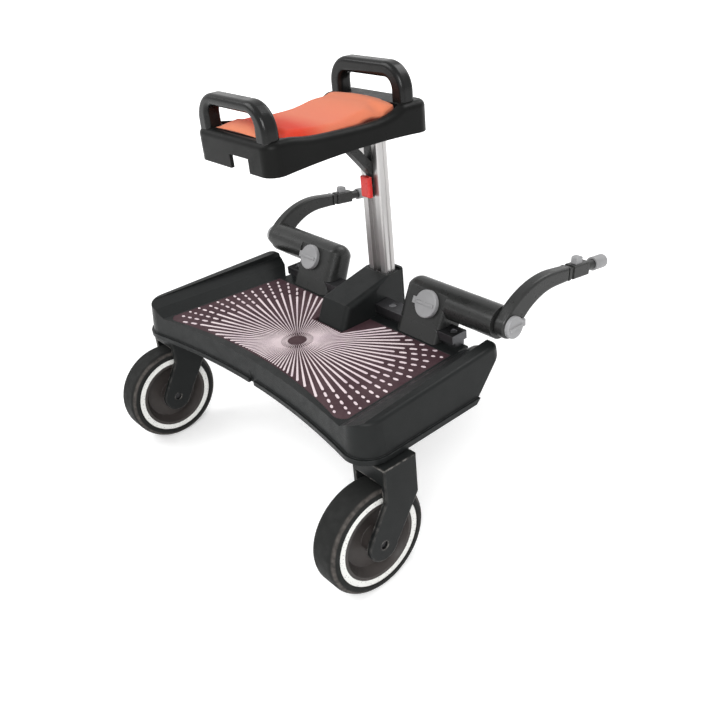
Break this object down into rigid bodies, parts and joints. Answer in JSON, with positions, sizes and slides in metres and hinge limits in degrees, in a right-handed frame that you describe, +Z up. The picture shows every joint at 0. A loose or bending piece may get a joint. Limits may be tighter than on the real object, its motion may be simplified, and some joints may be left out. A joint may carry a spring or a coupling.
{
  "type": "buggy board with saddle",
  "caption": "Standing board on castors that couples behind a pushchair, with a removable padded saddle on a post and coupling arms that slide and pivot.",
  "frame": {"origin": "middle of the foot of the whole board's box, on the ground under it", "axes": "+X across the board to its right, +Y towards the pushchair, +Z up"},
  "size_m": [0.4156, 0.3896, 0.4195],
  "materials": {
    "shell_black": "moulded, fine grain",
    "mat_rubber": "matt, with raised pale dashes",
    "rail_dark": "satin",
    "post_aluminium": "drawn, satin",
    "hardware_steel": "zinc plated",
    "knob_grey": "moulded",
    "button_red": "moulded",
    "pad_fabric": "padded",
    "tyre_rubber": "matt",
    "wheel_grey": "moulded",
    "reflector_white": "speckled",
    "bush_nylon": "plain"
  },
  "bodies": {
    "deck": {"deck_shell": "shell_black", "grip_mat": "mat_rubber", "cross_rail": "rail_dark", "rail_screws": "hardware_steel", "saddle_socket": "shell_black", "socket_back_plate": "shell_black", "plate_screws": "hardware_steel", "stem_bushes": "bush_nylon"},
    "post": {"saddle_post": "post_aluminium"},
    "saddle": {"saddle_bracket": "shell_black", "saddle_shell": "shell_black", "front_handle": "shell_black", "rear_handle": "shell_black", "handle_screws": "hardware_steel", "saddle_pad": "pad_fabric", "lock_spring": "hardware_steel"},
    "lock_button": {"lock_button": "button_red"},
    "left_castor": {"left_fork": "shell_black", "left_stem": "hardware_steel", "left_stem_clip": "hardware_steel", "left_axle": "hardware_steel"},
    "left_wheel": {"left_wheel_disc": "wheel_grey", "left_tyre": "tyre_rubber", "left_reflector_rings": "reflector_white", "left_wheel_bushes": "bush_nylon"},
    "left_shoulder": {"left_shoulder": "shell_black", "left_pivot_bolt": "hardware_steel"},
    "left_track_knob": {"left_track_knob": "knob_grey", "left_lock_shaft": "hardware_steel"},
    "left_arm": {"left_arm": "shell_black", "left_coupler": "shell_black", "left_coupling_pin": "knob_grey", "left_release_spring": "hardware_steel"},
    "left_pivot_knob": {"left_pivot_knob": "knob_grey"},
    "left_release_tab": {"left_release_tab": "knob_grey"},
    "right_castor": {"right_fork": "shell_black", "right_stem": "hardware_steel", "right_stem_clip": "hardware_steel", "right_axle": "hardware_steel"},
    "right_wheel": {"right_wheel_disc": "wheel_grey", "right_tyre": "tyre_rubber", "right_reflector_rings": "reflector_white", "right_wheel_bushes": "bush_nylon"},
    "right_shoulder": {"right_shoulder": "shell_black", "right_pivot_bolt": "hardware_steel"},
    "right_track_knob": {"right_track_knob": "knob_grey", "right_lock_shaft": "hardware_steel"},
    "right_arm": {"right_arm": "shell_black", "right_coupler": "shell_black", "right_coupling_pin": "knob_grey", "right_release_spring": "hardware_steel"},
    "right_pivot_knob": {"right_pivot_knob": "knob_grey"},
    "right_release_tab": {"right_release_tab": "knob_grey"}
  },
  "joints": [
    {"name": "post_lift", "type": "slide", "parent": "deck", "child": "post", "axis": [0, 0, 1], "range_m": [0, 0.06]},
    {"name": "saddle_height", "type": "slide", "parent": "post", "child": "saddle", "axis": [0, 0, 1], "range_m": [0, 0.04]},
    {"name": "lock_press", "type": "slide", "parent": "saddle", "child": "lock_button", "axis": [0, 1, 0], "range_m": [0, 0.0025], "stiffness_N_per_m": 800, "deforming": ["lock_spring"]},
    {"name": "left_castor_swivel", "type": "hinge", "parent": "deck", "child": "left_castor", "pos_m": [-0.1855, -0.11479, 0.1325], "axis": [0, 0, 1], "continuous": true},
    {"name": "left_wheel_spin", "type": "hinge", "parent": "left_castor", "child": "left_wheel", "pos_m": [-0.1855, -0.13979, 0.055], "axis": [1, 0, 0], "continuous": true},
    {"name": "left_shoulder_slide", "type": "slide", "parent": "deck", "child": "left_shoulder", "axis": [-1, 0, 0], "range_m": [-0.025, 0.022]},
    {"name": "left_track_knob_turn", "type": "hinge", "parent": "left_shoulder", "child": "left_track_knob", "pos_m": [-0.09704, 0.03066, 0.194], "axis": [0, -0.9063, 0.4226], "range_deg": [0, 90]},
    {"name": "left_arm_pivot", "type": "hinge", "parent": "left_shoulder", "child": "left_arm", "pos_m": [-0.1793, 0.04721, 0.194], "axis": [1, 0, 0], "range_deg": [-35, 80]},
    {"name": "left_pivot_knob_turn", "type": "hinge", "parent": "left_shoulder", "child": "left_pivot_knob", "pos_m": [-0.1793, 0.04721, 0.194], "axis": [-1, 0, 0], "range_deg": [0, 120]},
    {"name": "left_release_press", "type": "slide", "parent": "left_arm", "child": "left_release_tab", "axis": [0, -0.1132, -0.9936], "range_m": [0, 0.003], "stiffness_N_per_m": 800, "deforming": ["left_release_spring"]},
    {"name": "right_castor_swivel", "type": "hinge", "parent": "deck", "child": "right_castor", "pos_m": [0.1855, -0.11479, 0.1325], "axis": [0, 0, 1], "continuous": true},
    {"name": "right_wheel_spin", "type": "hinge", "parent": "right_castor", "child": "right_wheel", "pos_m": [0.1855, -0.13979, 0.055], "axis": [1, 0, 0], "continuous": true},
    {"name": "right_shoulder_slide", "type": "slide", "parent": "deck", "child": "right_shoulder", "axis": [1, 0, 0], "range_m": [-0.025, 0.022]},
    {"name": "right_track_knob_turn", "type": "hinge", "parent": "right_shoulder", "child": "right_track_knob", "pos_m": [0.09704, 0.03066, 0.194], "axis": [0, -0.9063, 0.4226], "range_deg": [0, 90]},
    {"name": "right_arm_pivot", "type": "hinge", "parent": "right_shoulder", "child": "right_arm", "pos_m": [0.1793, 0.04721, 0.194], "axis": [1, 0, 0], "range_deg": [-35, 80]},
    {"name": "right_pivot_knob_turn", "type": "hinge", "parent": "right_shoulder", "child": "right_pivot_knob", "pos_m": [0.1793, 0.04721, 0.194], "axis": [1, 0, 0], "range_deg": [0, 120]},
    {"name": "right_release_press", "type": "slide", "parent": "right_arm", "child": "right_release_tab", "axis": [0, -0.1132, -0.9936], "range_m": [0, 0.003], "stiffness_N_per_m": 800, "deforming": ["right_release_spring"]}
  ]
}
